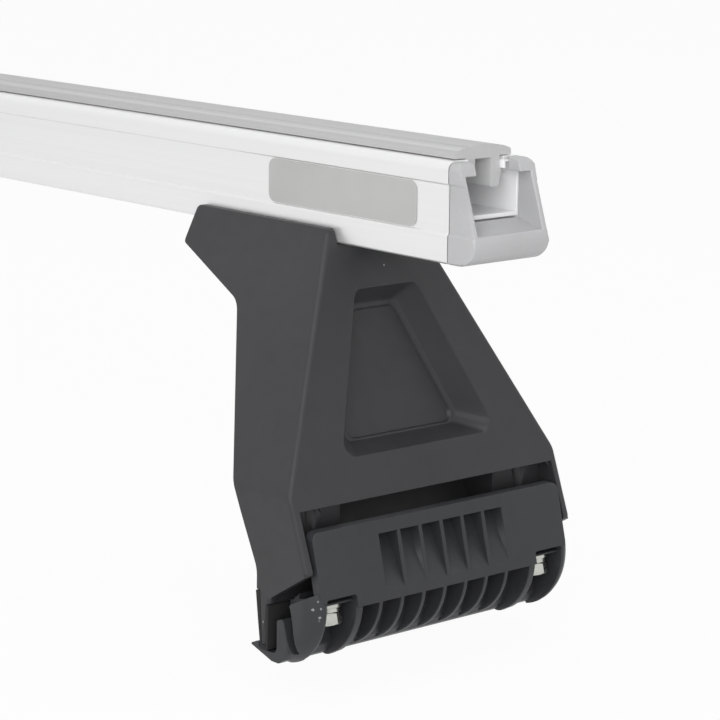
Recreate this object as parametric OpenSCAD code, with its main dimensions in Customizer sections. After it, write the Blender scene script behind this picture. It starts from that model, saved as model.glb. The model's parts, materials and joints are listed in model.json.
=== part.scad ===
// Roof rack crossbar: a hollow aluminium bar on two gutter legs, each with a ribbed
// clamp drawn up by two bolts. X runs along the bar, Y across it, Z up from the ground
// that the clamp hooks stand on. The leg is drawn for the +X end and mirrored for -X.

/* [Bar] */
// Length of the aluminium bar
bar_len = 1250; // [900:10:1650]
// Width of the bar
bar_w = 43; // [36:1:60]
// Height of the bar
bar_h = 43; // [36:1:60]
// Side wall of the bar
bar_wall = 2.4; // [1.8:0.1:3.5]
// Radius of the two upper corners
bar_corner = 4; // [2:0.5:6]
// Width of the slot in the top
mouth_w = 20; // [12:0.5:24]
// Thickness of the lips beside the top slot
lip_t = 2.5; // [1.5:0.1:4]
// Depth of the turned-down edge of each lip
lip_turn = 5.2; // [3:0.1:8]
// Height of the inner web above the underside
web_z = 17.2; // [14:0.2:22]
// Thickness of the inner web
web_t = 1.8; // [1.2:0.1:3]
// Thickness of the floor beside the lower slot
floor_t = 2.8; // [2:0.1:4]
// Width of the slot in the underside
keyway_w = 12; // [9:0.5:18]
// Height of the lower groove on each side
band_lo = 12.2; // [8:0.1:16]
// Height of the upper groove on each side
band_hi = 33.7; // [26:0.1:38]
// How far the band between the grooves is set back
band_in = 0.8; // [0.3:0.1:1.5]

/* [Strip and label] */
// Width of the rubber strip
strip_w = 32.6; // [24:0.2:40]
// Rise of the strip above the bar
strip_rise = 5.4; // [3:0.1:8]
// Wall of the two legs of the strip
strip_leg = 5.2; // [3:0.1:7]
// How far the +Y leg of the strip reaches down into the bar
strip_drop = 13.5; // [9:0.1:14]
// How far the shorter -Y leg reaches down
strip_short = 7.8; // [7.5:0.1:14]
// Distance from the end of the bar to the end of the strip
strip_back = 1.8; // [0:0.1:5]
// Length of the plain label
label_l = 98.5; // [60:0.5:140]
// Distance from the label to the end of the bar
label_in = 19.5; // [5:0.5:60]

/* [End cap] */
// Reach of the cap past the bar at its foot
cap_out = 20.4; // [14:0.2:30]
// Lean of the sloping face, per unit of height
cap_lean = 0.33; // [0.1:0.01:0.45]
// Wall of the cap
cap_wall = 2.8; // [2:0.1:4]
// Height of the lip across the foot of the opening
cap_lip = 13.2; // [8:0.1:18]
// Height of the round at its toe
cap_toe = 7; // [4:0.1:9]
// Width of the open gap at the top
cap_gap = 25; // [22:0.2:30]
// Depth of the two hooks beside the gap
cap_hook = 6; // [3:0.2:9]
// Reach of the tongues that hold the cap in the bar
cap_tongue = 26; // [15:1:40]

/* [Leg] */
// Height from the foot to the underside of the bar
leg_h = 168; // [140:1:240]
// Distance from the end of the bar to the leg
leg_in = 69.3; // [20:0.1:200]
// Length of the saddle under the bar
saddle_l = 95.2; // [70:0.1:140]
// Height of the saddle cheeks beside the bar
cheek_h = 6.5; // [4:0.1:10]
// Thickness of the saddle cheeks at their top
cheek_t = 3.5; // [2.5:0.1:6]
// Width of the foot
foot_w = 156; // [120:1:190]
// Height of the foot, where its sides stand upright
foot_h = 69.6; // [60:0.1:90]
// Outward lean of the front, per unit of height
front_lean = 0.372; // [0.2:0.001:0.5]
// Outward lean of the back edge, per unit of height
back_lean = 0.601; // [0.4:0.001:0.8]
// Depth of the leg at the knee above the foot
knee_d = 38.6; // [30:0.1:50]
// Wall of the leg
leg_wall = 4; // [3:0.1:6]
// Thickness of the saddle floor
saddle_t = 6; // [4:0.5:10]
// Depth of the pocket in the front
pocket_d = 11.5; // [5:0.5:16]
// Depth of the step inside the pocket
pocket_step = 7.4; // [3:0.1:10]
// Width of the top of the pocket
pocket_top_w = 35.5; // [20:0.5:60]
// Widening of the pocket per unit of height, each side
pocket_flare = 0.415; // [0.2:0.005:0.5]
// Distance from the bar to the top of the pocket
pocket_top = 19.5; // [12:0.5:30]
// Distance from the pocket to the opening over the clamp
pocket_sill = 17.4; // [10:0.2:30]
// Height of the top of the opening over the clamp
throat_h = 63.8; // [56:0.1:80]
// Width of each bolt boss
boss_w = 29; // [20:0.5:34]

/* [Saddle parts] */
// Thickness of the rubber pad under the bar
pad_t = 2; // [1:0.1:4]
// Diameter of the bolts that hold the leg to the bar
tbolt_d = 8; // [6:0.5:10]
// Width of the square head in the lower slot
tbolt_head = 22; // [16:0.5:28]
// Thickness of that head
tbolt_head_t = 5; // [3:0.1:7]
// Distance from the front of the saddle to the first bolt
tbolt_a = 25; // [16:1:40]
// Distance between the two saddle bolts
tbolt_pitch = 48; // [30:1:60]

/* [Foot pad] */
// Height of the front of the rubber boot on the tongue
boot_h = 20.2; // [12:0.1:22]
// Height of its back
boot_back = 25.6; // [20:0.1:28]

/* [Clamp] */
// Gap between the front plate and the side walls of the foot
plate_gap = 1.6; // [1:0.1:4]
// Thickness of the front plate
plate_t = 5; // [3:0.1:7]
// Lean of the plate and of the bolts, per unit of height
clamp_lean = 0.25; // [0.1:0.01:0.35]
// Height of the top of the plate
plate_top = 55.6; // [50:0.1:70]
// Height of the ledge under the windows
ledge_h = 26; // [22:0.1:32]
// Thickness of that ledge
ledge_t = 4.1; // [3:0.1:6]
// Height of the solid band above the windows
head_band = 5.9; // [4:0.1:9]
// Number of windows
windows = 6; // [4:1:8]
// Distance from one rib to the next
rib_pitch = 12.4; // [9:0.1:15]
// Thickness of the ribs
rib_t = 2.1; // [1.4:0.1:3]
// Depth of the windows at their top
window_d = 8.5; // [5:0.1:10]
// Radius of the round cheeks
cheek_r = 29; // [26:0.5:32]
// How far the ribs lie inside the cheeks
rib_in = 2; // [1:0.1:4]
// Thickness of the outer cheeks
cheek_out_t = 8.6; // [6:0.1:10]
// Thickness of the inner cheeks
cheek_in_t = 3.6; // [2.5:0.1:5]
// Width of the pocket around each bolt
bay_w = 16.4; // [14:0.2:20]
// Width of the jaw between the foot pad and the hook
jaw = 4.6; // [4:0.1:8]
// Thickness of the hook
hook_t = 4; // [3.6:0.1:7]

/* [Clamp bolts] */
// Diameter of the clamp bolts
cbolt_d = 6; // [5:0.5:8]
// Length of the clamp bolts under the head
cbolt_l = 32; // [28:1:45]
// Width across the flats of the bolt heads
cbolt_af = 10; // [8:0.5:13]
// Thickness of the bolt heads
cbolt_head_t = 5.4; // [3:0.1:6]
// Outside diameter of the flat washers
washer_d = 12.5; // [10:0.5:15]
// Thickness of the flat washers
washer_t = 1.6; // [0.8:0.1:2]
// Thickness of the spring washers
spring_t = 1.8; // [1:0.1:2.5]
// Outside diameter of the threaded inserts
insert_d = 9; // [8:0.1:10]
// Length of the threaded inserts
insert_l = 12; // [8:1:15]

/* [Fits] */
// Gap between pieces that rest on each other
seat = 0.3; // [0.1:0.05:0.5]
// Radial gap round a turning bolt
run = 0.1; // [0.02:0.01:0.1]
// Radial gap in a bolt's clearance hole
free = 0.25; // [0.15:0.05:0.5]

/* [Hidden] */
$fn = 48;
eps = 0.02;
drop = 5.5;                                  // hook below the foot
bar_z = leg_h + drop;                        // underside of the bar
half = bar_w / 2;
inner = half - bar_wall;
front_a = atan(front_lean);
tilt = atan(clamp_lean);
leg_x = bar_len / 2 - leg_in;                // front of the saddle at the bar's underside
neck = half + seat + cheek_t;                // half width at the cheek tops
flare = (foot_w / 2 - neck) / (leg_h - foot_h + cheek_h);
foot_x = front_lean * leg_h;                 // foot frame from the leg frame
floor_top = -(pad_t + 2 * seat);             // top of the saddle floor
floor_bot = floor_top - saddle_t;
bolt_y = foot_w / 2 - cheek_out_t - bay_w / 2;
side_in = foot_w / 2 - leg_wall;             // inside of the foot's side walls
plate_w = 2 * (side_in - plate_gap);
tbolts = [-tbolt_a, -tbolt_a - tbolt_pitch];
front_lip = 3.6;                             // front wall that hides the pad's end

// Rounds the corners of an outline; each point is [x, y, radius].
function unit(v) = v / norm(v);
function bend(p, q, r, n = 5) =
    let (a = unit([p[0] - q[0], p[1] - q[1]]), b = unit([r[0] - q[0], r[1] - q[1]]),
         h = acos(a * b) / 2,
         d = min(q[2] / tan(h), 0.49 * norm([p[0] - q[0], p[1] - q[1]]),
                 0.49 * norm([r[0] - q[0], r[1] - q[1]])),
         k = d * tan(h), c = [q[0], q[1]] + unit(a + b) * k / sin(h),
         s = [q[0], q[1]] + a * d - c, e = [q[0], q[1]] + b * d - c,
         w = 180 - 2 * h, t = sign(s[0] * e[1] - s[1] * e[0]))
    [for (i = [0:n]) let (g = t * w * i / n)
        c + [s[0] * cos(g) - s[1] * sin(g), s[0] * sin(g) + s[1] * cos(g)]];
function soft(pts) =
    [for (i = [0:len(pts) - 1])
        let (m = len(pts), q = pts[i])
        each (q[2] > 0 ? bend(pts[(i + m - 1) % m], q, pts[(i + 1) % m])
                       : [[q[0], q[1]]])];

// Extrudes an (x, z) outline along Y between two values.
module slab(pts, y0, y1) {
    translate([0, y1, 0]) rotate([90, 0, 0]) linear_extrude(height = y1 - y0) polygon(pts);
}
// Extrudes a (y, z) outline along X between two values.
module along(pts, x0, x1) {
    translate([x0, 0, 0]) rotate([90, 0, 90]) linear_extrude(height = x1 - x0) polygon(pts);
}
module both_y() { for (s = [-1, 1]) scale([1, s, 1]) children(); }
module both_ends() { for (s = [0, 1]) mirror([s, 0, 0]) children(); }
module leg_frame() { translate([leg_x, 0, bar_z]) children(); }
module foot_frame() { translate([leg_x + foot_x, 0, drop]) children(); }
module end(s) { mirror([s == "l" ? 1 : 0, 0, 0]) children(); }

// Bar, strip and label

function bar_side(o) = [
    [half - o, 0 + o, 1.2], [half - o, band_lo, 0], [half - band_in - o, band_lo + 0.7, 0],
    [half - band_in - o, band_hi - 0.7, 0], [half - o, band_hi, 0],
    [half - o, bar_h - o, bar_corner - o]];
function flip(pts) = [for (i = [len(pts) - 1:-1:0]) [-pts[i][0], pts[i][1], pts[i][2]]];
bar_outline = soft(concat(bar_side(0), flip(bar_side(0))));

module bar() {
    color("#e8e9ea") translate([0, 0, bar_z]) difference() {
        along(bar_outline, -bar_len / 2, bar_len / 2);
        along([[-inner, floor_t], [inner, floor_t], [inner, web_z], [-inner, web_z]],
              -bar_len, bar_len);
        difference() {
            along([[-inner + band_in, web_z + web_t], [inner - band_in, web_z + web_t],
                   [inner - band_in, bar_h - lip_t], [-inner + band_in, bar_h - lip_t]],
                  -bar_len, bar_len);
            both_y() along([[mouth_w / 2, bar_h - lip_turn],
                            [mouth_w / 2 + 1.5, bar_h - lip_turn],
                            [mouth_w / 2 + 1.5, bar_h], [mouth_w / 2, bar_h]],
                           -bar_len - 1, bar_len + 1);
        }
        along([[-mouth_w / 2, bar_h - lip_t - eps], [mouth_w / 2, bar_h - lip_t - eps],
               [mouth_w / 2, bar_h + 1], [-mouth_w / 2, bar_h + 1]], -bar_len, bar_len);
        along([[-keyway_w / 2, -1], [keyway_w / 2, -1], [keyway_w / 2, floor_t + eps],
               [-keyway_w / 2, floor_t + eps]], -bar_len, bar_len);
    }
}

// The strip is a domed cover with a fine groove on each side of its crown and two legs;
// barbs catch under the turned lips.
function strip_half(reach) =
    let (w = strip_w / 2, m = mouth_w / 2 - seat, i = m - strip_leg, barb = -lip_turn - 2 * seat,
         foot = seat - reach, crown = strip_rise)
    [[0, -0.6, 0], [i, -0.6, 0], [i, foot, 0.8], [m - 0.6, foot, 0.8],
     [m + 0.9, barb - 0.9, 0], [m + 0.9, barb, 0], [m, barb, 0], [m, 0, 0],
     [w, 0, 0.4], [w - 0.3, 0.5 * crown, 1], [w - 4.5, 0.76 * crown, 3],
     [w - 7.1, 0.84 * crown, 0], [w - 7.4, 0.75 * crown, 0], [w - 7.7, 0.855 * crown, 0],
     [w - 11, 0.94 * crown, 6], [0, crown, 0]];
module top_strip() {
    end_x = bar_len / 2 - strip_back;
    color("#b4b5b6") translate([0, 0, bar_z + bar_h + seat]) {
        along(soft(strip_half(strip_drop)), -end_x, end_x);
        scale([1, -1, 1]) along(soft(strip_half(strip_short)), -end_x, end_x);
    }
}

module side_label() {
    y = half - band_in;
    z0 = band_lo + 1;
    z1 = band_hi - 1;
    color("#b2b3b5") translate([bar_len / 2 - label_in - label_l, -y - 0.05, bar_z])
        slab(soft([[0, z0, 4], [label_l, z0, 4], [label_l, z1, 4], [0, z1, 4]]), -0.4, 0);
}

// End cap

function cap_face(z) = cap_out - cap_lean * z;
cap_shelf = web_z - seat;                    // the shelf behind the lip meets the web
module end_cap() {
    g = seat;
    top = bar_h - 0.4;
    side = soft([[g, 0, 0], [cap_out - cap_toe - 2, 0, 12], [cap_face(cap_toe), cap_toe, 12],
                 [cap_face(top), top, 5], [g, top, 0]]);
    w = half - cap_wall;
    lip_x = cap_face(cap_lip) - cap_wall;
    tongue_t = 2.2;
    tongue_y = inner - seat - tongue_t;
    tongue_lo = floor_t + 1.2;
    tongue_hi = tongue_lo + 7;
    translate([bar_len / 2, 0, bar_z]) {
        difference() {
            intersection() {
                slab(side, -half, half);
                along(bar_outline, 0, cap_out + 5);
            }
            // opening over the sloping shelf
            slab([[-1, cap_shelf], [0, cap_shelf], [lip_x, cap_lip - 0.4], [lip_x, cap_lip],
                  [cap_out + 9, cap_lip], [cap_out + 9, bar_h - cap_hook], [-1, bar_h - cap_hook]],
                 -w, w);
            // hollow under the shelf, open towards the bar
            slab(soft([[-1, cap_wall, 0], [cap_out - cap_toe - 4, cap_wall, 6],
                       [cap_face(cap_toe) - cap_wall - 0.8, cap_toe + 1, 4],
                       [lip_x, cap_lip - 2.4, 1], [-1, cap_shelf - 2, 0]]), -w, w);
            slab([[-1, bar_h - cap_hook - 1], [cap_out + 9, bar_h - cap_hook - 1],
                  [cap_out + 9, bar_h + 1], [-1, bar_h + 1]], -cap_gap / 2, cap_gap / 2);
        }
        // tongues that spring against the walls of the lower channel
        both_y() slab([[-cap_tongue, tongue_lo + 2], [-cap_tongue + 3, tongue_lo], [2, tongue_lo],
                       [2, tongue_hi], [-cap_tongue + 3, tongue_hi], [-cap_tongue, tongue_hi - 2]],
                      tongue_y, inner - seat);
        both_y() slab([[g, tongue_lo], [cap_wall, tongue_lo], [cap_wall, tongue_hi], [g, tongue_hi]],
                      tongue_y, half - cap_wall + 0.5);
    }
}

// Leg

// Front plane and back edge in the leg frame; z runs down from the bar's underside.
function front_x(z) = -front_lean * z;
back_k = front_x(-(leg_h - foot_h)) - knee_d;             // back edge at the kink
function back_x(z) = back_k - back_lean * (z + leg_h - foot_h);
arm_z = -10;                                             // underside of the arm's tip
arm_drop = 0.37;
elbow_z = (arm_z + arm_drop * (-saddle_l - back_k + back_lean * (leg_h - foot_h)))
          / (1 - arm_drop * back_lean);
tip = 38.7;                                              // front corner of the side walls

// Tongue at the foot of the leg, which the rubber boot slips over.
boot_front = -39.9;                                      // front of the boot at its top
boot_toe = boot_front - 0.5;                             // and at its foot
core_front = boot_front - 1.4;
core_back = -45.7;                                       // at the top of the boot
core_lo = 2.2;
core_gap = 0.1;

// Outline of the side walls and the tongue, in the foot frame.
function in_foot(p) = [p[0] - foot_x, p[1] + leg_h, p[2]];
side_outline = soft(concat(
    [for (p = [[-saddle_l, arm_z, 2.5], [-saddle_l, cheek_h, 2], [front_x(cheek_h), cheek_h, 2.5]])
        in_foot(p)],
    [[-front_lean * tip, tip, 2], [-32, 27.8, 8], [-38.4, 23.9, 6],
     [boot_front, boot_h + seat, 0], [core_front, boot_h + seat, 0], [core_front - 0.1, core_lo, 0.3],
     [core_back + 1.5, core_lo, 0.3], [core_back, boot_back + seat, 0], [-48, boot_back + seat, 0],
     [-47.9, 35, 14], [-59.4, 58.4, 14]],
    [for (p = [[back_k, -(leg_h - foot_h), 16], [back_x(elbow_z), elbow_z, 13]]) in_foot(p)]));

// Section across the leg, widening from the neck to the foot.
function spread(o) = [
    [neck - o, cheek_h + 1, 0], [neck - o, cheek_h, 0],
    [foot_w / 2 - o, -(leg_h - foot_h), 10], [foot_w / 2 - o, -leg_h - 1, 0],
    [-foot_w / 2 + o, -leg_h - 1, 0], [-foot_w / 2 + o, -(leg_h - foot_h), 10],
    [-neck + o, cheek_h, 0], [-neck + o, cheek_h + 1, 0]];

// Cavity outline: the same walls set in, open at the bottom.
function hollow(t) = soft(concat(
    [for (p = [[-saddle_l + t, arm_z - 30, 0], [-saddle_l + t, floor_bot, 0],
               [front_x(floor_bot) - t * 1.07, floor_bot, 3]]) in_foot(p)],
    [[-front_lean * tip - t * 1.07 + 12, tip - 32.3, 0], [-36, -5, 0],
     [-40.8 - 0.2, 22, 0], [-48 + t * 1.3, 36.5, 8], [-58.6 + t * 1.3, 58.6, 12]],
    [for (p = [[back_k + t * 1.2, -(leg_h - foot_h) + 2, 14],
               [back_x(elbow_z) + t * 1.2, elbow_z + 1, 8]]) in_foot(p)]));

// The pocket is drawn on the front plane: X out of the plane, Z up along it.
module on_front() { leg_frame() rotate([0, -front_a, 0]) children(); }
// Each level is [depth, side inset at the top, side inset at the foot, top inset, foot inset].
module pocket_shape(levels, grow = 0) {
    l0 = pocket_top / cos(front_a);
    l1 = (leg_h - throat_h - pocket_sill) / cos(front_a);
    a = pocket_top_w / 2 + grow;
    b = pocket_top_w / 2 + pocket_flare * (l1 - l0) * cos(front_a) + grow;
    hull() for (e = levels) translate([-e[0], 0, 0])
        along(soft([[a - e[1], -l0 - e[3] + grow, 5], [-a + e[1], -l0 - e[3] + grow, 5],
                    [-b + e[2], -l1 + e[4] - grow, 6], [b - e[2], -l1 + e[4] - grow, 6]]),
              -0.01, 0.01);
}
pocket_mid = [pocket_step, 4.3, 8.5, 3.8, 5.5];

module leg() {
    color("#43444a") difference() {
        union() {
            difference() {
                intersection() {
                    foot_frame() slab(side_outline, -foot_w / 2, foot_w / 2);
                    leg_frame() along(soft(spread(0)), -saddle_l - 5, foot_x + 20);
                }
                intersection() {
                    foot_frame() slab(hollow(leg_wall), -side_in, side_in);
                    leg_frame() along(soft(spread(leg_wall)), -saddle_l - 50, foot_x + 90);
                }
                // opening in the back, leaving a return along each side wall
                leg_frame() intersection() {
                    along(soft(spread(leg_wall + 8)), -saddle_l - 50, foot_x - 30);
                    slab([[-saddle_l - 20, arm_z - 44], [back_x(-84) - 20, -84],
                          [back_x(-84) + 22, -84], [back_x(-40) + 20, -40],
                          [-saddle_l + 30, floor_bot - 1], [-saddle_l - 20, floor_bot - 1]],
                         -side_in, side_in);
                }
            }
            // tub behind the pocket
            intersection() {
                on_front() pocket_shape([[2, 0, 0, 0, 0], [pocket_d + 3.2, 5, 8.5, 5, 5.5]], 3.2);
                foot_frame() slab(side_outline, -side_in, side_in);
            }
            // gussets from the saddle floor to the tub
            leg_frame() both_y() intersection() {
                slab([[-saddle_l + 6, floor_bot + 1], [front_x(0) - 2, floor_bot + 1],
                      [front_x(-60) - leg_wall, -60], [front_x(-60) - 24, -60],
                      [back_x(elbow_z) + 6, elbow_z + 6]], 13, 16);
                slab([for (p = side_outline) [p[0] + foot_x, p[1] - leg_h]], 12, 17);
            }
            // bosses for the clamp bolts
            foot_frame() both_y() intersection() {
                slab(boss_side, side_in - boss_w, side_in + 1);
                slab(side_outline, 0, foot_w / 2);
            }
        }
        // seat for the bar, stepped up over the front wall
        leg_frame() slab([[-saddle_l - 9, floor_top], [-front_lip, floor_top],
                          [-front_lip, -seat], [9, -seat], [9, cheek_h + 9],
                          [-saddle_l - 9, cheek_h + 9]], -half - seat, half + seat);
        // stepped pocket
        on_front() {
            pocket_shape([[-1, -0.5, -1, -0.5, -0.7], pocket_mid]);
            pocket_shape([[pocket_step - 0.1, 8, 12, 7.4, 5.4], [pocket_d, 8.8, 12.6, 8, 8.6]]);
        }
        // throat over the clamp
        foot_frame() along(soft([[side_in, -9, 0], [side_in, throat_h, 4],
                                 [-side_in, throat_h, 4], [-side_in, -9, 0]]),
                           -front_lean * throat_h - 8, 9);
        throat_back();
        for (x = tbolts) leg_frame() translate([x, 0, floor_bot - 1])
            cylinder(d = tbolt_d + 2 * free, h = saddle_t + 2);
        both_y() on_bolt() {
            cylinder(d = insert_d + 0.1, h = insert_l + 1.5);
            cylinder(d = cbolt_d + 4 * free, h = 26);
            translate([0, 0, -1]) cylinder(d = insert_d + 1, h = 1);
        }
    }
}

// Clears the front plate's foot and the boss faces for the plate's travel.
function plate_x(h) = plate_x0 + clamp_lean * (plate_top - h);
plate_x0 = -18.1;
rear_x = plate_t * sqrt(1 + clamp_lean * clamp_lean);
boss_lo = 37;
boss_side = [[plate_x(boss_lo) - rear_x - 0.6, boss_lo],
             [plate_x(throat_h + 4) - rear_x - 0.6, throat_h + 4],
             [-62, throat_h + 4], [-46, boss_lo]];
module throat_back() {
    foot_frame() difference() {
        slab([[plate_x(throat_h) - rear_x - 0.6, throat_h], [9, throat_h], [9, -9],
              [plate_x(-9) - rear_x - 0.6, -9]], -side_in, side_in);
        slab([[-60, -9], [-34, -9], [-34, 30], [-60, 30]], -side_in - 1, side_in + 1);
    }
}

// Frame on the clamp bolt: origin at the boss face, Z up along the bolt.
bolt_x = -24.95;
module on_bolt() {
    foot_frame() translate([bolt_x, bolt_y, boss_lo]) rotate([0, -tilt, 0]) children();
}

// The boot is a U section, open at both ends.
module foot_pad() {
    color("#3a3b3f") foot_frame()
        slab(soft([[boot_front, boot_h, 0.3], [boot_front - 0.2, 8, 0], [boot_toe, 0, 1],
                   [-45.2, 0, 1], [-46.8, 12, 0],
                   [-48.4, boot_back, 0.5], [core_back - core_gap, boot_back, 0.2],
                   [core_back + 1.5 - core_gap, core_lo - 2 * core_gap, 0],
                   [core_front + core_gap, core_lo - 2 * core_gap, 0],
                   [core_front + core_gap, boot_h, 0.2]]),
             -foot_w / 2, foot_w / 2);
}

module saddle_pad() {
    color("#38393c") leg_frame() difference() {
        slab(soft([[-saddle_l + 1, floor_top + seat, 0], [-front_lip - seat, floor_top + seat, 0],
                   [-front_lip - seat, -seat, 0.6], [-saddle_l + 1, -seat, 0.6]]),
             -half + 0.5, half - 0.5);
        for (x = tbolts) translate([x, 0, floor_top - 1])
            cylinder(d = tbolt_d + 2, h = pad_t + 3);
    }
}

module at_tbolt(i) { leg_frame() translate([tbolts[i], 0, 0]) children(); }
nut_t = 6.5;
module tbolt(i) {
    s = tbolt_head / 2;
    color("#c8cacc") at_tbolt(i) {
        translate([0, 0, floor_t + seat]) linear_extrude(height = tbolt_head_t)
            polygon(soft([[s, -s, 2], [s, s, 2], [-s, s, 2], [-s, -s, 2]]));
        translate([0, 0, floor_bot - washer_t - nut_t - 4])
            cylinder(d = tbolt_d, h = floor_t + seat + 1 - floor_bot + washer_t + nut_t + 4);
    }
}
module tbolt_washer(i) {
    color("#c8cacc") at_tbolt(i) translate([0, 0, floor_bot - washer_t - 0.05]) difference() {
        cylinder(d = 2 * tbolt_d, h = washer_t);
        translate([0, 0, -1]) cylinder(d = tbolt_d + 2 * run, h = washer_t + 2);
    }
}
module tbolt_nut(i) {
    color("#c8cacc") at_tbolt(i) translate([0, 0, floor_bot - washer_t - nut_t - 0.1])
        difference() {
            cylinder(d = 13 / cos(30), h = nut_t, $fn = 6);
            translate([0, 0, -1]) cylinder(d = tbolt_d + 0.1, h = nut_t + 2);
        }
}

// Clamp

ledge_lo = ledge_h - ledge_t;
plate_lo = ledge_h - 0.5;
rib_span = windows * rib_pitch / 2;
cheek_c = [-40, 23.5];
hook_x = boot_toe + jaw + seat;                             // inner face of the hook
wedge_d = 5;                                             // depth of the wedge in each end
seat_s = 15.2;                                           // boss face to bolt seat
seat_block = 4;                                          // thickness of that seat
seat_in = 3;                                             // set back behind the plate
bay_top = 27.4;                                          // underside of the plate over the bolts
function arc_pts(r, a0, a1, n = 14) =
    [for (i = [0:n]) let (a = a0 + (a1 - a0) * i / n) cheek_c + r * [cos(a), sin(a)]];

heel = 1.1;                                              // cheeks reach this far below the hook

// Hook section: wall, trough under the foot, and inward tip.
hook_side = soft([[hook_x, 14.6, 1], [hook_x, -seat, 3], [-46.9, -seat, 1.6], [-47.6, 2.4, 0.8],
                  [-49.8, 2.0, 0.8], [-53.6, 0.2, 0.5], [-38.8, heel - drop, 2], [-34.4, heel - drop, 2],
                  [hook_x + hook_t + 1.3, 3.5 - drop, 2], [hook_x + hook_t + 3.7, 2.2, 2],
                  [hook_x + hook_t, 16.2, 1]]);

// Z-shaped web behind the windows and under the ledge.
module web(y0, y1) {
    d = window_d;
    top = plate_top - head_band;
    slab([[plate_x(plate_top), plate_top], [plate_x(top), top],
          [plate_x(top) - d, top], [plate_x(ledge_h), ledge_h],
          [plate_x(ledge_lo), ledge_lo], [plate_x(ledge_lo) - 11.5, ledge_lo],
          [hook_x + 8, 1], [hook_x + 4, 1], [hook_x + 4, 13],
          [plate_x(ledge_lo) - 14.5, ledge_h - 0.5], [plate_x(ledge_h) - 5, ledge_h + 1.5],
          [plate_x(top) - d - 2.6, top - 2], [plate_x(top) - d - 2.6, top + 1],
          [plate_x(plate_top) - plate_t, plate_top]], y0, y1);
}
module fin(y, t, r) {
    slab(concat([[plate_x(ledge_h), ledge_h], [plate_x(ledge_lo), ledge_lo]],
                [for (p = arc_pts(r, -3, -72)) [min(p[0], plate_x(p[1])), max(p[1], -drop + cheek_r - r)]],
                [[hook_x + 2, 4], [plate_x(ledge_lo) - 13, ledge_h - 1]]), y - t / 2, y + t / 2);
}
// Round bar about the cheek's centre with rounded ends, which the outer cheeks are cut to.
module round_end() {
    w = foot_w / 2 - 1;
    translate([cheek_c[0], 0, cheek_c[1]]) rotate([90, 0, 0]) rotate_extrude($fn = 96)
        polygon(soft([[0, -w, 0], [cheek_r + 0.5, -w, 9], [cheek_r + 0.5, w, 9], [0, w, 0]]));
}
// An outer cheek has a shoulder beside the plate and reaches lower than an inner one.
module cheek(y0, y1, outer) {
    s = outer;
    low = -drop + (outer ? 0 : 1.3);
    slab(concat([[plate_x(30.9) - 0.01, s ? 30.9 : ledge_h + 2]],
                [for (p = arc_pts(cheek_r, 2, -58)) [min(p[0], plate_x(p[1])), p[1]]],
                [[-28, low + 1.4], [-29.8, low + 0.4], [-31.6, low], [-33, low + 0.1],
                 [hook_x + 1, 2.3 - drop], [hook_x + 1, 8],
                 [hook_x + hook_t + 1, 16], [-28, 20.2], [-26.8, 23.8]]), y0, y1);
}

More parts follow.
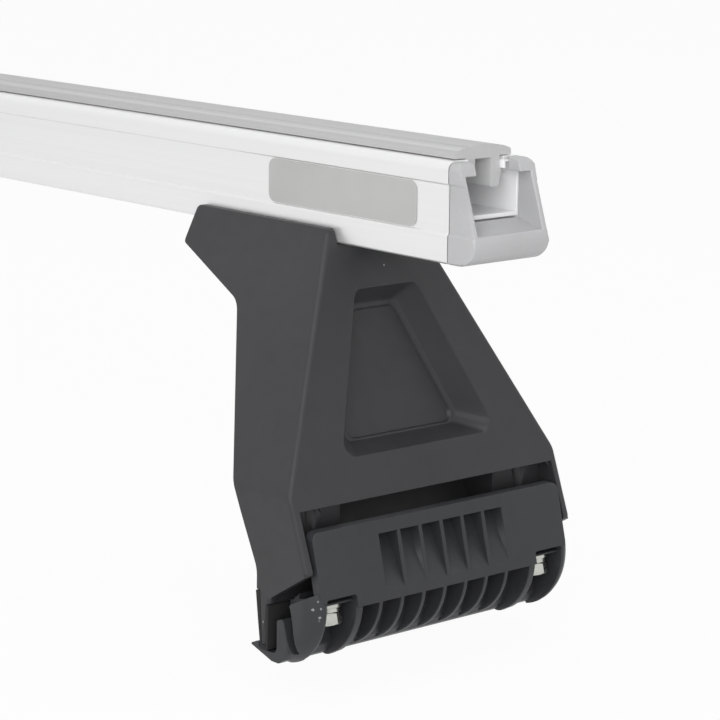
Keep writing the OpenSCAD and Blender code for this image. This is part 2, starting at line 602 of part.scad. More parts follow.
module clamp() {
    pw = plate_w / 2;
    lo = foot_w / 2 - cheek_out_t;
    color("#45464d") foot_frame() difference() {
        union() {
            // front plate either side of the windows, over the bolt bays
            both_y() intersection() {
                slab([[plate_x(plate_top), plate_top], [plate_x(plate_lo), plate_lo],
                      [plate_x(plate_lo) - rear_x, plate_lo],
                      [plate_x(plate_top) - rear_x, plate_top]], rib_span - 1, pw);
                along(soft([[0, plate_lo, 0], [pw, plate_lo, 4], [pw, plate_top, 4],
                            [0, plate_top, 0]]), -50, 0);
            }
            web(-rib_span - rib_t / 2, rib_span + rib_t / 2);
            both_y() slab([[plate_x(28), 28], [plate_x(ledge_lo), ledge_lo],
                           [plate_x(ledge_lo) - 11.5, ledge_lo], [hook_x + 8, 1],
                           [hook_x + 4, 1], [hook_x + 4, 13],
                           [plate_x(ledge_lo) - 14.5, ledge_h - 0.5],
                           [plate_x(28) - rear_x, ledge_h + 1]],
                          rib_span, bolt_y - bay_w / 2);
            // ribs across the windows
            for (i = [0:windows]) {
                y = -rib_span + i * rib_pitch;
                slab([[plate_x(plate_top - 2), plate_top - 2], [plate_x(ledge_h - 1), ledge_h - 1],
                      [plate_x(ledge_h) - 2, ledge_h],
                      [plate_x(plate_top - head_band) - window_d - 1, plate_top - head_band - 1],
                      [plate_x(plate_top) - plate_t, plate_top - 2]], y - rib_t / 2, y + rib_t / 2);
                fin(y, rib_t, cheek_r - rib_in);
            }
            both_y() {
                cheek(bolt_y - bay_w / 2 - cheek_in_t, bolt_y - bay_w / 2, false);
                intersection() {
                    cheek(lo, foot_w / 2 - 1, true);
                    round_end();
                }
                // bolt seat across the bay, square to the bolt
                intersection() {
                    translate([bolt_x, bolt_y, boss_lo]) rotate([0, -tilt, 0])
                        translate([-15, -bay_w / 2 - 1, -seat_s]) cube([26, bay_w + 2, seat_block]);
                    slab([[hook_x + 1, 8], [plate_x(8) - seat_in, 8], [plate_x(34) - seat_in, 34],
                          [hook_x + 1, 34]], 0, foot_w / 2);
                }
                // wall from the seat down to the hook
                slab([[hook_x + hook_t - 1, -2], [hook_x + hook_t + 2, 0],
                      [hook_x + hook_t + 3, 27], [hook_x + hook_t - 1, 24]], bolt_y - bay_w / 2 - 1, lo + 1);
            }
            slab(hook_side, -foot_w / 2 + 1, foot_w / 2 - 1);
        }
        // wedge in each end, between the hook and the cheek and open at its top
        both_y() slab(soft([[-31.4, 17.5, 0], [-29.7, 11.6, 0], [-28.3, 6.6, 0], [-26.9, 1.6, 1],
                            [-23.5, 2, 1], [-24.1, 8.8, 0], [-25.2, 16.4, 0], [-26.8, 22, 0],
                            [-32.2, 22, 0]]),
                      foot_w / 2 - wedge_d, foot_w / 2);
        // the plate's foot is higher over the bolts
        both_y() along(soft([[bolt_y - bay_w / 2, plate_lo - seat, 0],
                             [bolt_y + bay_w / 2, plate_lo - seat, 0],
                             [bolt_y + bay_w / 2, bay_top, 2], [bolt_y - bay_w / 2, bay_top, 2]]),
                       plate_x(bay_top) - rear_x - 0.3, 0);
        both_y() translate([bolt_x, bolt_y, boss_lo]) rotate([0, -tilt, 0])
            translate([0, 0, -40]) cylinder(d = cbolt_d + 2 * run, h = 40);
        both_y() translate([bolt_x, bolt_y, boss_lo]) rotate([0, -tilt, 0])
            translate([0, 0, -seat_s - 12]) cylinder(d = washer_d + 2, h = 12);
    }
}

module on_cbolt(s) { scale([1, s, 1]) on_bolt() translate([0, 0, -seat_s]) children(); }
module clamp_bolt(s) {
    z = -0.05 - spring_t - 0.05 - washer_t - 0.05;
    color("#d5d7d9") on_cbolt(s) {
        translate([0, 0, z - cbolt_head_t]) cylinder(d = cbolt_af / cos(30), h = cbolt_head_t, $fn = 6);
        translate([0, 0, z - 1]) cylinder(d = cbolt_d, h = cbolt_l + 1);
    }
}
module ring(d, t, bore) {
    difference() {
        cylinder(d = d, h = t);
        translate([0, 0, -1]) cylinder(d = bore, h = t + 2);
    }
}
module flat_washer(s) {
    color("#d5d7d9") on_cbolt(s) translate([0, 0, -0.05 - washer_t])
        ring(washer_d, washer_t, cbolt_d + 2 * run);
}
module spring_washer(s) {
    color("#d5d7d9") on_cbolt(s) translate([0, 0, -0.1 - washer_t - spring_t]) difference() {
        ring(cbolt_d * 1.75, spring_t, cbolt_d + 2 * run);
        rotate([0, 0, 70]) translate([0, -0.4, -1]) cube([10, 0.8, spring_t + 2]);
    }
}
module insert(s) {
    color("#c9a858") scale([1, s, 1]) on_bolt() translate([0, 0, 0.5])
        ring(insert_d, insert_l, cbolt_d + 0.1);
}

bar();
top_strip();
side_label();
color("#b8b9bb") end("r") end_cap();  // end_cap_r
color("#b8b9bb") end("l") end_cap();  // end_cap_l
end("r") leg();  // leg_r
end("r") saddle_pad();  // saddle_pad_r
end("r") foot_pad();  // foot_pad_r
end("r") tbolt(0);  // tbolt_r1
end("r") tbolt_washer(0);  // tbolt_washer_r1
end("r") tbolt_nut(0);  // tbolt_nut_r1
end("r") tbolt(1);  // tbolt_r2
end("r") tbolt_washer(1);  // tbolt_washer_r2
end("r") tbolt_nut(1);  // tbolt_nut_r2
end("r") insert(-1);  // insert_r1
end("r") insert(1);  // insert_r2
end("r") clamp();  // clamp_r
end("r") flat_washer(-1);  // flat_washer_r1
end("r") flat_washer(1);  // flat_washer_r2
end("r") spring_washer(-1);  // spring_washer_r1
end("r") spring_washer(1);  // spring_washer_r2
end("r") clamp_bolt(-1);  // clamp_bolt_r1
end("r") clamp_bolt(1);  // clamp_bolt_r2
end("l") leg();  // leg_l
end("l") saddle_pad();  // saddle_pad_l
end("l") foot_pad();  // foot_pad_l
end("l") tbolt(0);  // tbolt_l1
end("l") tbolt_washer(0);  // tbolt_washer_l1
end("l") tbolt_nut(0);  // tbolt_nut_l1
end("l") tbolt(1);  // tbolt_l2
end("l") tbolt_washer(1);  // tbolt_washer_l2
end("l") tbolt_nut(1);  // tbolt_nut_l2
end("l") insert(-1);  // insert_l1
end("l") insert(1);  // insert_l2
end("l") clamp();  // clamp_l
end("l") flat_washer(-1);  // flat_washer_l1
end("l") flat_washer(1);  // flat_washer_l2
end("l") spring_washer(-1);  // spring_washer_l1
end("l") spring_washer(1);  // spring_washer_l2
end("l") clamp_bolt(-1);  // clamp_bolt_l1
end("l") clamp_bolt(1);  // clamp_bolt_l2
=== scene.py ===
import json
import math

import bmesh
import bpy
from mathutils import Matrix, Vector
from mathutils.geometry import delaunay_2d_cdt


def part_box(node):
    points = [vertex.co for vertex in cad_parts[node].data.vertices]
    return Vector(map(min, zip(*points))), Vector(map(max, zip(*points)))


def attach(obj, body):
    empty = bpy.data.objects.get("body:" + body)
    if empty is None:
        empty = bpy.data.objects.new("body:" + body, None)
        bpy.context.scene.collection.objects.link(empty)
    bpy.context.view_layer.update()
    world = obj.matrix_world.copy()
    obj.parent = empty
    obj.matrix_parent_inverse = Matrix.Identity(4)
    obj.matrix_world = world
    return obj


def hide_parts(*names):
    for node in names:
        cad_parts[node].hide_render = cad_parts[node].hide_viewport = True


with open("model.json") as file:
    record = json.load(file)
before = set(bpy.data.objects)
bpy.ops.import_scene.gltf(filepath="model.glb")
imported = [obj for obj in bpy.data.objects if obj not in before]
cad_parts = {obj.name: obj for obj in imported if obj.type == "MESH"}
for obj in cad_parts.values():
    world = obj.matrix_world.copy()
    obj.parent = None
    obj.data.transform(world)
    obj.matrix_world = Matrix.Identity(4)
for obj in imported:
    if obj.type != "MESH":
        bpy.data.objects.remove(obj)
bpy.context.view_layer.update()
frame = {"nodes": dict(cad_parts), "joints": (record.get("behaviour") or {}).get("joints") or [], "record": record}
nodes = frame["nodes"]
record = frame["record"]
joints = {j["name"]: j for j in frame["joints"]}
body_of = {n: body for body, names in record["behaviour"]["bodies"].items() for n in names}
slot_of = {p["node"]: p["material_slot"] for p in record["subparts"]}

MM = 0.001

# Mesh clean-up: weld distance, angle under which two faces are one, and angle of a real edge.
WELD = 0.002 * MM
FLAT = math.radians(0.4)
SHARP = math.radians(24)
CHEEK_ROUND = 1.4 * MM
CREASE = math.radians(33)
FOLD = 0.02 * MM * MM


# Camera, at the angle of the photograph

CAMERA_PLACE = Vector((1.416383, -0.755081, 0.353536))
CAMERA_HEADING = math.radians(139.0489)
CAMERA_DOWN = math.radians(11.5724)
CAMERA_ROLL = math.radians(0.6598)
CAMERA_LENS = 131.608
SENSOR = 36


def add_camera():
    a, p, roll = CAMERA_HEADING, CAMERA_DOWN, CAMERA_ROLL
    ahead = Vector((math.cos(p) * math.cos(a), math.cos(p) * math.sin(a), -math.sin(p)))
    level = Vector((math.sin(a), -math.cos(a), 0))
    up = level.cross(ahead)
    right = math.cos(roll) * level + math.sin(roll) * up
    up = -math.sin(roll) * level + math.cos(roll) * up
    data = bpy.data.cameras.new("camera")
    data.lens = CAMERA_LENS
    data.sensor_width = SENSOR
    camera = bpy.data.objects.new("camera", data)
    bpy.context.scene.collection.objects.link(camera)
    c = CAMERA_PLACE
    camera.matrix_world = Matrix(((right.x, up.x, -ahead.x, c.x), (right.y, up.y, -ahead.y, c.y),
                                  (right.z, up.z, -ahead.z, c.z), (0, 0, 0, 1)))
    bpy.context.scene.camera = camera


# Materials. Coordinates are metres of the row frame, so a scale of 1000 is one millimetre.

class Paint:
    """One Principled material made from procedural nodes."""

    def __init__(self, name, roughness, metallic=0.0, specular=0.5):
        self.mat = bpy.data.materials.new(name)
        self.mat.use_nodes = True
        self.tree = self.mat.node_tree
        self.shader = self.tree.nodes["Principled BSDF"]
        self.shader.inputs["Roughness"].default_value = roughness
        self.shader.inputs["Metallic"].default_value = metallic
        self.shader.inputs["Specular IOR Level"].default_value = specular
        self.place = self.add("ShaderNodeTexCoord").outputs["Object"]
        self.normal = None

    def add(self, kind, **settings):
        node = self.tree.nodes.new(kind)
        for key, value in settings.items():
            setattr(node, key, value)
        return node

    def link(self, source, target):
        self.tree.links.new(source, target)

    def stretch(self, scale):
        """The coordinates multiplied by a vector."""
        node = self.add("ShaderNodeVectorMath", operation="MULTIPLY")
        self.link(self.place, node.inputs[0])
        node.inputs[1].default_value = scale
        return node.outputs[0]

    def noise(self, scale, detail=3.0, place=None):
        node = self.add("ShaderNodeTexNoise")
        node.inputs["Scale"].default_value = scale
        node.inputs["Detail"].default_value = detail
        self.link(place or self.place, node.inputs["Vector"])
        return node.outputs["Fac"]

    def math(self, operation, a, b=None, clamp=False):
        node = self.add("ShaderNodeMath", operation=operation, use_clamp=clamp)
        for socket, value in zip(node.inputs, (a, b)):
            if isinstance(value, (int, float)):
                socket.default_value = value
            elif value is not None:
                self.link(value, socket)
        return node.outputs[0]

    def spread(self, fac, low, high, start=0.3, stop=0.7):
        """Maps fac from start..stop to low..high."""
        node = self.add("ShaderNodeMapRange")
        for key, value in (("From Min", start), ("From Max", stop), ("To Min", low), ("To Max", high)):
            node.inputs[key].default_value = value
        self.link(fac, node.inputs["Value"])
        return node.outputs["Result"]

    def tones(self, fac, stops):
        """Colours along a ramp: stops are (position, grey or colour)."""
        node = self.add("ShaderNodeValToRGB")
        while len(node.color_ramp.elements) < len(stops):
            node.color_ramp.elements.new(1.0)
        for element, (position, colour) in zip(node.color_ramp.elements, stops):
            element.position = position
            element.color = (*colour, 1)
        self.link(fac, node.inputs["Fac"])
        return node.outputs["Color"]

    def mix(self, fac, a, b):
        node = self.add("ShaderNodeMix", data_type="RGBA")
        for key, value in ((0, fac), (6, a), (7, b)):
            if isinstance(value, tuple):
                node.inputs[key].default_value = (*value, 1)
            elif isinstance(value, float):
                node.inputs[key].default_value = value
            else:
                self.link(value, node.inputs[key])
        return node.outputs[2]

    def colour(self, socket):
        self.link(socket, self.shader.inputs["Base Color"])

    def rough(self, socket):
        self.link(socket, self.shader.inputs["Roughness"])

    def bump(self, height, depth, strength=1.0):
        """Adds relief of that depth in metres over any relief added before."""
        node = self.add("ShaderNodeBump")
        node.inputs["Strength"].default_value = strength
        node.inputs["Distance"].default_value = depth
        self.link(height, node.inputs["Height"])
        if self.normal:
            self.link(self.normal, node.inputs["Normal"])
        self.normal = node.outputs["Normal"]
        self.link(self.normal, self.shader.inputs["Normal"])


def times(colour, k):
    return tuple(c * k for c in colour)


def speck_mask(paint, specks):
    """1 inside small specks at given places, each (x, y, z, radius) in millimetres."""
    ragged = paint.spread(paint.noise(1400, 2), -0.25 * MM, 0.25 * MM)
    total = None
    for x, y, z, radius in specks:
        node = paint.add("ShaderNodeVectorMath", operation="DISTANCE")
        paint.link(paint.place, node.inputs[0])
        node.inputs[1].default_value = (x * MM, y * MM, z * MM)
        near = paint.math("LESS_THAN", paint.math("ADD", node.outputs["Value"], ragged), radius * MM)
        total = near if total is None else paint.math("MAXIMUM", total, near)
    return total


def moulded(name, colour, roughness, specks=(), grain=0.035, specular=0.5):
    """Satin glass-filled plastic: fine spark grain, faint flow marks and a little dust."""
    p = Paint(name, roughness, specular=specular)
    cloud = p.noise(22, 4)
    base = p.tones(cloud, [(0.3, times(colour, 0.93)), (0.7, times(colour, 1.08))])
    dust = p.spread(p.noise(420, 5), 0.0, 0.10, 0.62, 0.85)
    base = p.mix(dust, base, times(colour, 2.2))
    if specks:
        base = p.mix(speck_mask(p, specks), base, (0.26, 0.26, 0.27))
    p.colour(base)
    p.rough(p.spread(p.noise(160, 4), roughness - 0.05, roughness + 0.05))
    p.bump(p.noise(2300, 2), grain * MM)
    p.bump(p.noise(60, 2), 0.05 * MM, 0.5)
    return p.mat


def channel_light_mask(paint):
    """1 on the walls of the channels, where painted light lightens their shade; 0 on the outside of the bar."""
    low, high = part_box("bar")
    split = paint.add("ShaderNodeSeparateXYZ")
    paint.link(paint.place, split.inputs[0])
    narrow = paint.math("LESS_THAN", paint.math("ABSOLUTE", split.outputs["Y"]), high.y - 1.5 * MM)
    below = paint.math("LESS_THAN", split.outputs["Z"], high.z - 1.5 * MM)
    above = paint.math("GREATER_THAN", split.outputs["Z"], low.z + 1.5 * MM)
    return paint.math("MULTIPLY", paint.math("MULTIPLY", narrow, below), above)


def anodised(name, colour):
    """Clear anodised extrusion: satin metal with faint die lines along X, and painted light inside: the channel
    walls are a lighter, non-metallic grey that brightens their shade.
    """
    p = Paint(name, 0.36, metallic=0.7)
    die_lines = p.noise(1.0, 3, p.stretch((3, 700, 700)))
    wide_lines = p.noise(1.0, 2, p.stretch((1.5, 160, 160)))
    streak = p.math("ADD", p.math("MULTIPLY", die_lines, 0.5), p.math("MULTIPLY", wide_lines, 0.5))
    inside = channel_light_mask(p)
    skin = p.tones(streak, [(0.3, times(colour, 0.965)), (0.7, times(colour, 1.02))])
    # Painted light: the channel walls are mixed to a lighter grey and made non-metallic so their shade renders
    # bright.
    p.colour(p.mix(inside, skin, (0.93, 0.93, 0.94)))
    p.link(p.math("SUBTRACT", 0.7, p.math("MULTIPLY", inside, 0.7)), p.shader.inputs["Metallic"])
    p.rough(p.spread(die_lines, 0.30, 0.42))
    p.bump(die_lines, 0.01 * MM)
    p.bump(p.noise(900, 3), 0.006 * MM)
    return p.mat


# Painted shade and highlight across the strip, by distance from its middle: a dark line at the groove, a bright
# line along the upper side edge and darker sides in shade.
STRIP_SHADE_BANDS = [(0.0, 1.0), (0.44, 1.02), (0.52, 0.93), (0.56, 0.80), (0.60, 1.02), (0.72, 1.0), (0.80, 1.10),
               (0.86, 1.0), (0.93, 0.88), (1.0, 0.84)]


def rubber_strip(name, colour):
    """Rubber with die lines along X, lengthwise bands of painted shade and highlight, and one plain painted shade
    on its ends.
    """
    low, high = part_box("top_strip")
    p = Paint(name, 0.62, specular=0.35)
    across = p.add("ShaderNodeSeparateXYZ")
    p.link(p.place, across.inputs[0])
    side = p.math("MULTIPLY", p.math("ABSOLUTE", across.outputs["Y"]), 1 / high.y)
    shaded_band = p.tones(side, [(at, times(colour, k)) for at, k in STRIP_SHADE_BANDS])
    # Painted shade: the end faces get one plain, slightly darker tone.
    on_end = p.math("GREATER_THAN", p.math("ABSOLUTE", across.outputs["X"]), high.x - 0.05 * MM)
    shaded_band = p.mix(on_end, shaded_band, times(colour, 0.92))
    streak = p.noise(1.0, 4, p.stretch((4, 420, 420)))
    p.colour(p.mix(p.spread(streak, 0.0, 0.22), shaded_band, times(colour, 0.8)))
    p.rough(p.spread(p.noise(240, 4), 0.55, 0.70))
    p.bump(streak, 0.05 * MM)
    p.bump(p.noise(1500, 2), 0.03 * MM)
    return p.mat


def soft_rubber(name, colour):
    """Black rubber of the pads: matte, with a fine pitted skin."""
    p = Paint(name, 0.75, specular=0.3)
    p.colour(p.tones(p.noise(35, 4), [(0.3, times(colour, 0.85)), (0.7, times(colour, 1.15))]))
    p.rough(p.spread(p.noise(300, 3), 0.68, 0.82))
    p.bump(p.noise(1200, 3), 0.06 * MM)
    return p.mat


def zinc(name, colour):
    """Bright zinc-plated steel with light turning marks."""
    p = Paint(name, 0.28, metallic=1.0)
    p.colour(p.tones(p.noise(260, 4), [(0.3, times(colour, 0.9)), (0.7, times(colour, 1.06))]))
    p.rough(p.spread(p.noise(700, 4), 0.2, 0.38))
    p.bump(p.noise(1100, 3), 0.012 * MM)
    return p.mat


def brass(name, colour):
    p = Paint(name, 0.35, metallic=1.0)
    p.colour(p.tones(p.noise(300, 3), [(0.3, times(colour, 0.88)), (0.7, times(colour, 1.05))]))
    p.rough(p.spread(p.noise(600, 3), 0.28, 0.45))
    p.bump(p.noise(900, 2), 0.01 * MM)
    return p.mat


def label_film(name, colour):
    """Plain grey film with a satin face."""
    p = Paint(name, 0.45, specular=0.4)
    p.colour(p.tones(p.noise(30, 3), [(0.3, times(colour, 0.96)), (0.7, times(colour, 1.03))]))
    p.rough(p.spread(p.noise(200, 3), 0.40, 0.50))
    p.bump(p.noise(700, 2), 0.01 * MM)
    return p.mat


NEAR_CHEEK_SPECKS = [(604.4, -74.9, 29.6, 0.65), (605.7, -73.3, 33.0, 0.35), (606.5, -72.3, 30.0, 0.45),
                     (606.2, -72.6, 26.1, 0.6), (606.1, -72.7, 24.6, 0.4)]
LEG_SPECKS = [(574.9, -78.0, 17.8, 0.4), (559.9, 1.5, 162.3, 0.45)]

PAINTS = {
    "bar": anodised("anodised_bar", (0.855, 0.855, 0.855)),
    "strip": rubber_strip("grey_strip", (0.61, 0.61, 0.612)),
    "label": label_film("plain_label", (0.505, 0.505, 0.50)),
    "cap": moulded("grey_cap", (0.50, 0.50, 0.509), 0.5, grain=0.02),
    "leg": moulded("black_leg", (0.0317, 0.0316, 0.0342), 0.46, LEG_SPECKS, specular=0.38),
    "clamp": moulded("black_clamp", (0.031, 0.0318, 0.036), 0.46, NEAR_CHEEK_SPECKS, specular=0.36),
    "pad": soft_rubber("black_pad", (0.022, 0.022, 0.023)),
    "steel": zinc("bright_zinc", (0.54, 0.54, 0.505)),
    "insert": brass("brass_insert", (0.62, 0.48, 0.24)),
}


# Pieces

def add_piece(name, bm, node):
    """Turns a bmesh into a piece that stands for a CAD node."""
    mesh = bpy.data.meshes.new(name)
    bm.to_mesh(mesh)
    bm.free()
    mesh.shade_smooth()
    mesh.set_sharp_from_angle(angle=CREASE)
    piece = bpy.data.objects.new(name, mesh)
    bpy.context.scene.collection.objects.link(piece)
    mesh.materials.append(PAINTS[slot_of[node]])
    weigh = piece.modifiers.new("weighted_normals", "WEIGHTED_NORMAL")
    weigh.keep_sharp = True
    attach(piece, body_of[node])
    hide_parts(node)
    return piece


def whole_faces(node):
    """A bmesh of a CAD node with its triangles joined into whole faces."""
    bm = bmesh.new()
    bm.from_mesh(nodes[node].data)
    bmesh.ops.remove_doubles(bm, verts=bm.verts, dist=WELD)
    bmesh.ops.dissolve_limit(bm, angle_limit=FLAT, verts=bm.verts, edges=bm.edges)
    bmesh.ops.recalc_face_normals(bm, faces=bm.faces)
    return bm


def round_edges(bm, width, segments, wanted=lambda e: True, hollow=False):
    """Rounds the outer edges, or with hollow the inner corners too, that pass the test."""
    chosen = []
    for e in bm.edges:
        if len(e.link_faces) != 2:
            continue
        angle = e.calc_face_angle_signed(0)
        if (angle > SHARP or (hollow and angle < -SHARP)) and wanted(e):
            chosen.append(e)
    if chosen:
        bmesh.ops.bevel(bm, geom=chosen, offset=width, offset_type="OFFSET", segments=segments,
                        profile=0.5, affect="EDGES", clamp_overlap=False)


def is_folded(face, loops):
    """True if a triangle of a face's own filling looks the other way."""
    for tri in loops:
        a, b, c = (loop.vert.co for loop in tri)
        if (b - a).cross(c - a).dot(face.normal) < -FOLD:
            return True
    return False


def fill_again(bm, face):
    """Fills a flat face with triangles that all look one way, also where its outline crosses itself."""
    facing = face.normal.copy()
    across = facing.orthogonal().normalized()
    up = facing.cross(across)
    corners = list(face.verts)
    start = corners[0].co.copy()
    flat = [Vector(((v.co - start).dot(across), (v.co - start).dot(up))) for v in corners]
    points, _, tris, origins, _, _ = delaunay_2d_cdt(flat, [], [list(range(len(flat)))], 1, 1e-8)
    bm.faces.remove(face)
    made = [corners[o[0]] if o else bm.verts.new(start + across * p.x + up * p.y)
            for p, o in zip(points, origins)]
    for tri in tris:
        if not bm.faces.get([made[i] for i in tri]):
            bm.faces.new([made[i] for i in tri])


def mend_folds(bm):
    """Fills again the faces that narrow details folded while their edges were rounded."""
    fillings = {}
    for tri in bm.calc_loop_triangles():
        fillings.setdefault(tri[0].face, []).append(tri)
    for face, loops in fillings.items():
        if len(loops) > 2 and is_folded(face, loops):
            fill_again(bm, face)


def on_front_corner(e):
    """True on the corners between the leg's front and its tapering sides."""
    a, b = (f.normal for f in e.link_faces)
    if a.x * math.copysign(1, e.verts[0].co.x) < b.x * math.copysign(1, e.verts[0].co.x):
        a, b = b, a
    outward = math.copysign(1, e.verts[0].co.x)
    y = (e.verts[0].co.y + e.verts[1].co.y) / 2
    return a.x * outward > 0.8 and b.y * math.copysign(1, y) > 0.85 and abs(y) > 20 * MM


# The pocket of the leg, deeper and with a narrower ledge than in the CAD. One row for each ring of
# its profile, in millimetres: depth and side inset at the top, the same at the foot, top inset, foot inset.
POCKET_RINGS = [
    (11.0, 5.9, 11.0, 6.8, 4.3, 7.3),
    (11.0, 8.6, 11.0, 9.2, 7.0, 8.3),
    (12.6, 9.4, 12.6, 10.0, 7.8, 9.1),
]
POCKET_FLOOR = (11.2 * MM, 11.8 * MM)


def pocket_faces(bm, depth, outward):
    """The faces of the pocket, spread out from its floor as far as the front of the leg."""
    low, high = POCKET_FLOOR
    found = {f for f in bm.faces
             if f.normal.dot(outward) > 0.99 and all(low < depth(v.co) < high for v in f.verts)}
    fresh = list(found)
    while fresh:
        for e in fresh.pop().edges:
            for f in e.link_faces:
                if f not in found and any(depth(v.co) > 0.02 * MM for v in f.verts):
                    found.add(f)
                    fresh.append(f)
    return list(found)


def loop_around(edges):
    """The corners of a closed loop of edges, in order."""
    after = {}
    for e in edges:
        for v in e.verts:
            after.setdefault(v, []).append(e)
    first = edges[0].verts[0]
    ring, edge = [first], edges[0]
    while True:
        corner = edge.other_vert(ring[-1])
        if corner is first:
            return ring
        ring.append(corner)
        edge = next(e for e in after[corner] if e is not edge)


def reshape_pocket(bm, sign):
    """Cuts the pocket out of the leg's front and builds it again from POCKET_RINGS."""
    leaning = [f for f in bm.faces if f.normal.x * sign > 0.85 and 0.2 < f.normal.z < 0.5]
    outward = max(leaning, key=lambda f: f.calc_area()).normal.copy()
    front = max(leaning, key=lambda f: f.verts[0].co.dot(outward))
    origin = front.verts[0].co.copy()
    uphill = Vector((-sign * outward.z, 0, abs(outward.x)))
    gone = pocket_faces(bm, lambda p: (origin - p).dot(outward), outward)
    bmesh.ops.delete(bm, geom=gone, context="FACES")
    rim = loop_around([e for e in bm.edges if len(e.link_faces) == 1])

    heights = [(v.co - origin).dot(uphill) for v in rim]
    foot, top = min(heights), max(heights)
    end = max(range(len(rim)), key=lambda i: heights[i] - heights[i - 1])
    high, low = abs(rim[end].co.y), abs(rim[end - 1].co.y)
    flare = (low - high) / (heights[end] - heights[end - 1])

    def half(h):
        return high + (heights[end] - h) * flare

    last = rim
    for depth_top, side_top, depth_foot, side_foot, top_in, foot_in in POCKET_RINGS:
        ring = []
        for v, h in zip(rim, heights):
            share = (h - foot) / (top - foot)
            new_h = foot + foot_in * MM + share * (top - foot - (top_in + foot_in) * MM)
            depth = (depth_foot + share * (depth_top - depth_foot)) * MM
            inset = (side_foot + share * (side_top - side_foot)) * MM
            y = v.co.y * (half(new_h) - inset) / half(h)
            place = origin + uphill * new_h - outward * depth
            ring.append(bm.verts.new((place.x, y, place.z)))
        for i in range(len(ring)):
            bm.faces.new((last[i - 1], last[i], ring[i], ring[i - 1]))
        last = ring
    bm.faces.new(last)
    bmesh.ops.recalc_face_normals(bm, faces=bm.faces)


def add_leg(side):
    node = "leg_" + side
    bm = whole_faces(node)
    reshape_pocket(bm, 1 if side == "r" else -1)
    round_edges(bm, 2.2 * MM, 4, on_front_corner)
    round_edges(bm, 0.45 * MM, 2)
    mend_folds(bm)
    add_piece(node + "_shell", bm, node)


def add_rounded(node, width, segments=2):
    bm = whole_faces(node)
    round_edges(bm, width, segments)
    mend_folds(bm)
    add_piece(node + "_piece", bm, node)


def on_cheek_front(e):
    """True for the long edge between an outer side of the end cap and its sloping front."""
    across = [abs(f.normal.y) > 0.99 for f in e.link_faces]
    slope = [abs(f.normal.x) > 0.8 and 0.1 < f.normal.z < 0.6 for f in e.link_faces]
    return any(across) and any(slope) and all(abs(v.co.y) > 19 * MM for v in e.verts)


def add_end_cap(node, width):
    """The long outer corners of the sloping front are rounder than the other edges."""
    bm = whole_faces(node)
    round_edges(bm, CHEEK_ROUND, 4, on_cheek_front)
    round_edges(bm, width, 2, lambda e: not any(abs(f.normal.y) > 0.05 and abs(f.normal.x) > 0.05 for f in e.link_faces))
    mend_folds(bm)
    add_piece(node + "_piece", bm, node)


# Fasteners

HEX_SIDES = 48
CHAMFER = math.tan(math.radians(30))


def axis_place(origin, up):
    """Maps points given along an axis into the row frame, with X of the section in the XZ plane."""
    across = Vector((0, 1, 0)).cross(up).normalized()
    other = up.cross(across)
    return lambda x, y, z: origin + across * x + other * y + up * z


def bridge(bm, rings, close_start=True, close_end=True):
    """Joins rings of points into a closed skin."""
    made = [[bm.verts.new(p) for p in ring] for ring in rings]
    for low, high in zip(made, made[1:]):
        count = len(low)
        for k in range(count):
            bm.faces.new((low[k], low[(k + 1) % count], high[(k + 1) % count], high[k]))
    if close_start:
        bm.faces.new(made[0][::-1])
    if close_end:
        bm.faces.new(made[-1])
    return made


def add_hex(bm, place, across, low, high, bore=0.0):
    """A hexagon with its corners turned off on both faces, solid or with a bore."""
    face = 0.475 * across
    corner = [across / 2 / math.cos(math.radians((360 * k / HEX_SIDES) % 60 - 30)) for k in range(HEX_SIDES)]
    turned = [(r - face) * CHAMFER for r in corner]

    def ring(radius, z):
        return [place(radius[k] * math.cos(2 * math.pi * k / HEX_SIDES),
                      radius[k] * math.sin(2 * math.pi * k / HEX_SIDES), z[k]) for k in range(HEX_SIDES)]
    flat = [face] * HEX_SIDES
    rings = [ring(flat, [low] * HEX_SIDES), ring(corner, [low + t for t in turned]),
             ring(corner, [high - t for t in turned]), ring(flat, [high] * HEX_SIDES)]
    if bore:
        hole = [bore] * HEX_SIDES
        rings = [ring(hole, [low] * HEX_SIDES)] + rings + [ring(hole, [high] * HEX_SIDES)]
        made = bridge(bm, rings, False, False)
        for k in range(HEX_SIDES):
            n = (k + 1) % HEX_SIDES
            bm.faces.new((made[-1][k], made[-1][n], made[0][n], made[0][k]))
    else:
        bridge(bm, rings)


def add_thread(bm, place, radius, pitch, low, high, plain_to, tip_up):
    """A shank with a V thread; it stays plain up to plain_to and tapers at its tip."""
    sides, per_turn = 24, 6
    depth = 0.54 * pitch
    count = math.ceil((high - low) / pitch * per_turn)
    rings = []
    for i in range(count + 1):
        z = low + (high - low) * i / count
        from_tip = (high - z) if tip_up else (z - low)
        ring = []
        for k in range(sides):
            phase = (z / pitch - k / sides) % 1
            cut = depth * (1 - abs(2 * phase - 1))
            plain = z < plain_to if tip_up else z > plain_to
            r = radius - (0 if plain else cut)
            r = min(r, radius - max(0.0, 0.7 * pitch - from_tip))
            a = 2 * math.pi * k / sides
            ring.append(place(r * math.cos(a), r * math.sin(a), z))
        rings.append(ring)
    bridge(bm, rings)


def reach_along(node, origin, up):
    """Each vertex of a node as (height along an axis, distance from it)."""
    found = []
    for v in nodes[node].data.vertices:
        d = v.co - origin
        z = d.dot(up)
        found.append((z, (d - up * z).length))
    return found


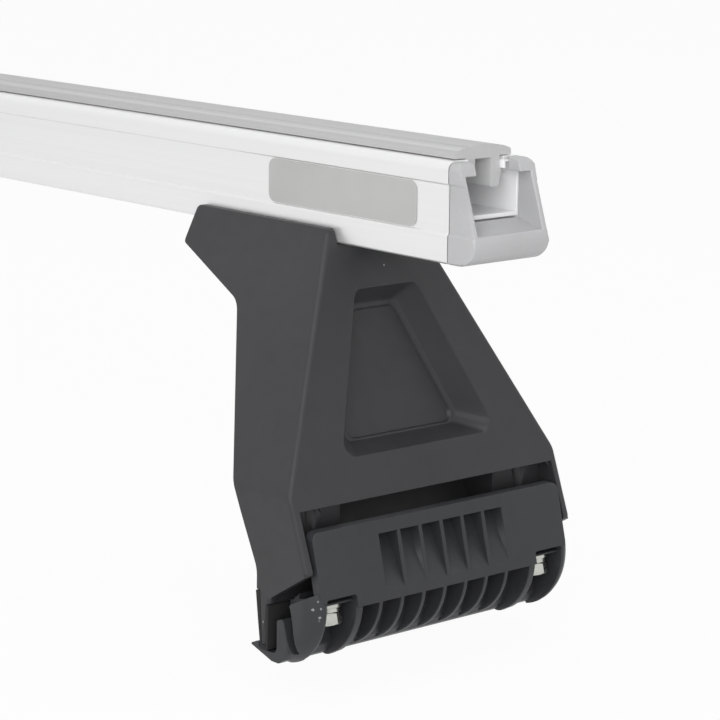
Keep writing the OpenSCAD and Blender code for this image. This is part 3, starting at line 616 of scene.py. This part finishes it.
def add_clamp_bolt(node):
    joint = joints[node + "_turn"]
    origin, up = Vector(joint["pos_m"]), -Vector(joint["axis"]).normalized()
    place = axis_place(origin, up)
    reach = reach_along(node, origin, up)
    corner = max(r for z, r in reach)
    head = [z for z, r in reach if r > 0.9 * corner]
    tip = max(z for z, r in reach)
    radius = max(r for z, r in reach if z > tip - 0.1 * MM)
    bm = bmesh.new()
    add_hex(bm, place, 2 * corner * math.cos(math.radians(30)), min(head), max(head))
    add_thread(bm, place, radius, 1.0 * MM, max(head) - 0.05 * MM, tip, max(head) + 4 * MM, True)
    bmesh.ops.recalc_face_normals(bm, faces=bm.faces)
    add_piece(node + "_m6", bm, node)


def add_saddle_bolt(node):
    low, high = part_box(node)
    middle = (low + high) / 2
    place = axis_place(Vector((middle.x, middle.y, 0)), Vector((0, 0, 1)))
    reach = reach_along(node, Vector((middle.x, middle.y, 0)), Vector((0, 0, 1)))
    radius = max(r for z, r in reach if z < low.z + 0.1 * MM)
    head = [z for z, r in reach if r > 1.5 * radius]
    bm = whole_faces(node)
    cut = min(head) - 0.01 * MM
    gone = bmesh.ops.bisect_plane(bm, geom=bm.verts[:] + bm.edges[:] + bm.faces[:],
                                  plane_co=(0, 0, cut + 0.02 * MM), plane_no=(0, 0, -1), clear_outer=True)
    bmesh.ops.holes_fill(bm, edges=[g for g in gone["geom_cut"] if isinstance(g, bmesh.types.BMEdge)])
    round_edges(bm, 0.6 * MM, 2)
    add_thread(bm, place, radius, 1.25 * MM, low.z, cut + 0.05 * MM, cut - 3 * MM, False)
    bmesh.ops.recalc_face_normals(bm, faces=bm.faces)
    add_piece(node + "_m8", bm, node)


def add_nut(node):
    low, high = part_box(node)
    middle = (low + high) / 2
    origin, up = Vector((middle.x, middle.y, 0)), Vector((0, 0, 1))
    reach = reach_along(node, origin, up)
    corner = max(r for z, r in reach)
    bore = min(r for z, r in reach)
    bm = bmesh.new()
    add_hex(bm, axis_place(origin, up), 2 * corner * math.cos(math.radians(30)), low.z, high.z, bore)
    bmesh.ops.recalc_face_normals(bm, faces=bm.faces)
    add_piece(node + "_m8", bm, node)


EDGE_WIDTHS = {"bar": 0.3, "top_strip": 0.1, "side_label": 0.12, "end_cap": 0.6, "clamp": 0.45, "foot_pad": 0.15,
               "saddle_pad": 0.4, "flat_washer": 0.2, "spring_washer": 0.15, "tbolt_washer": 0.2, "insert": 0.25}


def add_pieces():
    for side in "rl":
        add_leg(side)
        for i in "12":
            add_clamp_bolt(f"clamp_bolt_{side}{i}")
            add_saddle_bolt(f"tbolt_{side}{i}")
            add_nut(f"tbolt_nut_{side}{i}")
    for node in sorted(nodes):
        stem = node.rstrip("12").rsplit("_", 1)[0] if node[-1] in "rl12" and "_" in node else node
        if node in EDGE_WIDTHS:
            stem = node
        if stem == "end_cap":
            add_end_cap(node, EDGE_WIDTHS[stem] * MM)
        elif stem in EDGE_WIDTHS:
            add_rounded(node, EDGE_WIDTHS[stem] * MM)


# Floor, lights and background

FLOOR_SIZE = 30
FLOOR_Z = -12 * MM  # under the jaws when they are open
AMBIENT = 0.30


def seen_directly(tree):
    """1 for rays from the camera and for mirrored or refracted ones."""
    path = tree.nodes.new("ShaderNodeLightPath")
    first = tree.nodes.new("ShaderNodeMath")
    first.operation = "MAXIMUM"
    tree.links.new(path.outputs["Is Camera Ray"], first.inputs[0])
    tree.links.new(path.outputs["Is Glossy Ray"], first.inputs[1])
    second = tree.nodes.new("ShaderNodeMath")
    second.operation = "MAXIMUM"
    tree.links.new(first.outputs[0], second.inputs[0])
    tree.links.new(path.outputs["Is Transmission Ray"], second.inputs[1])
    return second.outputs[0]


def add_world():
    world = bpy.data.worlds.new("studio")
    world.use_nodes = True
    bpy.context.scene.world = world
    tree = world.node_tree
    background = tree.nodes["Background"]
    background.inputs["Color"].default_value = (1, 1, 1, 1)
    lift = tree.nodes.new("ShaderNodeMath")
    lift.operation = "MULTIPLY_ADD"
    tree.links.new(seen_directly(tree), lift.inputs[0])
    lift.inputs[1].default_value = 1 - AMBIENT
    lift.inputs[2].default_value = AMBIENT
    tree.links.new(lift.outputs[0], background.inputs["Strength"])


def add_floor():
    bm = bmesh.new()
    bmesh.ops.create_grid(bm, x_segments=1, y_segments=1, size=FLOOR_SIZE / 2)
    mesh = bpy.data.meshes.new("floor")
    bm.to_mesh(mesh)
    bm.free()
    floor = bpy.data.objects.new("floor", mesh)
    bpy.context.scene.collection.objects.link(floor)
    floor.location.z = FLOOR_Z
    mat = bpy.data.materials.new("pale_floor")
    mat.use_nodes = True
    tree = mat.node_tree
    shader = tree.nodes["Principled BSDF"]
    shader.inputs["Base Color"].default_value = (0.86, 0.86, 0.86, 1)
    shader.inputs["Roughness"].default_value = 0.9
    shader.inputs["Specular IOR Level"].default_value = 0.0
    glow = tree.nodes.new("ShaderNodeEmission")
    blend = tree.nodes.new("ShaderNodeMixShader")
    share = tree.nodes.new("ShaderNodeMath")
    share.operation = "MULTIPLY"
    share.inputs[1].default_value = 0.95
    tree.links.new(seen_directly(tree), share.inputs[0])
    tree.links.new(share.outputs[0], blend.inputs[0])
    tree.links.new(shader.outputs[0], blend.inputs[1])
    tree.links.new(glow.outputs[0], blend.inputs[2])
    tree.links.new(blend.outputs[0], tree.nodes["Material Output"].inputs["Surface"])
    mesh.materials.append(mat)


def add_lamp(name, place, target, size, power, mirrored=True):
    data = bpy.data.lights.new(name, "AREA")
    data.shape = "DISK"
    data.size = size
    data.energy = power
    lamp = bpy.data.objects.new(name, data)
    bpy.context.scene.collection.objects.link(lamp)
    lamp.visible_glossy = mirrored
    lamp.location = place
    lamp.rotation_euler = (Vector(target) - Vector(place)).to_track_quat("-Z", "Y").to_euler()


def add_lights():
    near_end = (0.58, 0, 0.12)
    add_lamp("key", (1.6, -2.6, 2.6), near_end, 1.8, 27)
    add_lamp("front", (2.2, -1.5, 0.55), near_end, 1.6, 30, mirrored=False)
    add_lamp("top", (0.7, 0.0, 3.0), near_end, 2.0, 22)


add_camera()
add_world()
add_floor()
add_lights()
add_pieces()
bpy.context.scene.view_settings.view_transform = "Standard"
